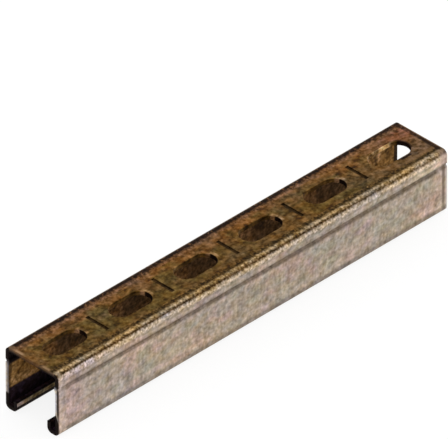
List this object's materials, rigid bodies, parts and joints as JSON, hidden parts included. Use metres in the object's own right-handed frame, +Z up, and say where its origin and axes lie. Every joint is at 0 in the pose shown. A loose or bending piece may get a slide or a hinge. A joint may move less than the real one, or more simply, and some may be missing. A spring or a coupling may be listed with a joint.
{
  "type": "slotted strut channel",
  "caption": "Short length of roll-formed C-section strut channel with in-turned lips, beaded walls and oblong slots along its web.",
  "frame": {"origin": "on the floor under the lips, in the middle of the length and of the width", "axes": "+Y along the channel, +Z up through the slotted web, away from the mouth; X across the two walls"},
  "size_m": [0.0412, 0.3048, 0.0413],
  "materials": {
    "yellow_zinc": "yellow-chromated zinc plating, brown-gold on the web, rubbed pale on the walls"
  },
  "bodies": {
    "root": {"strut_channel": "yellow_zinc"}
  },
  "joints": []
}
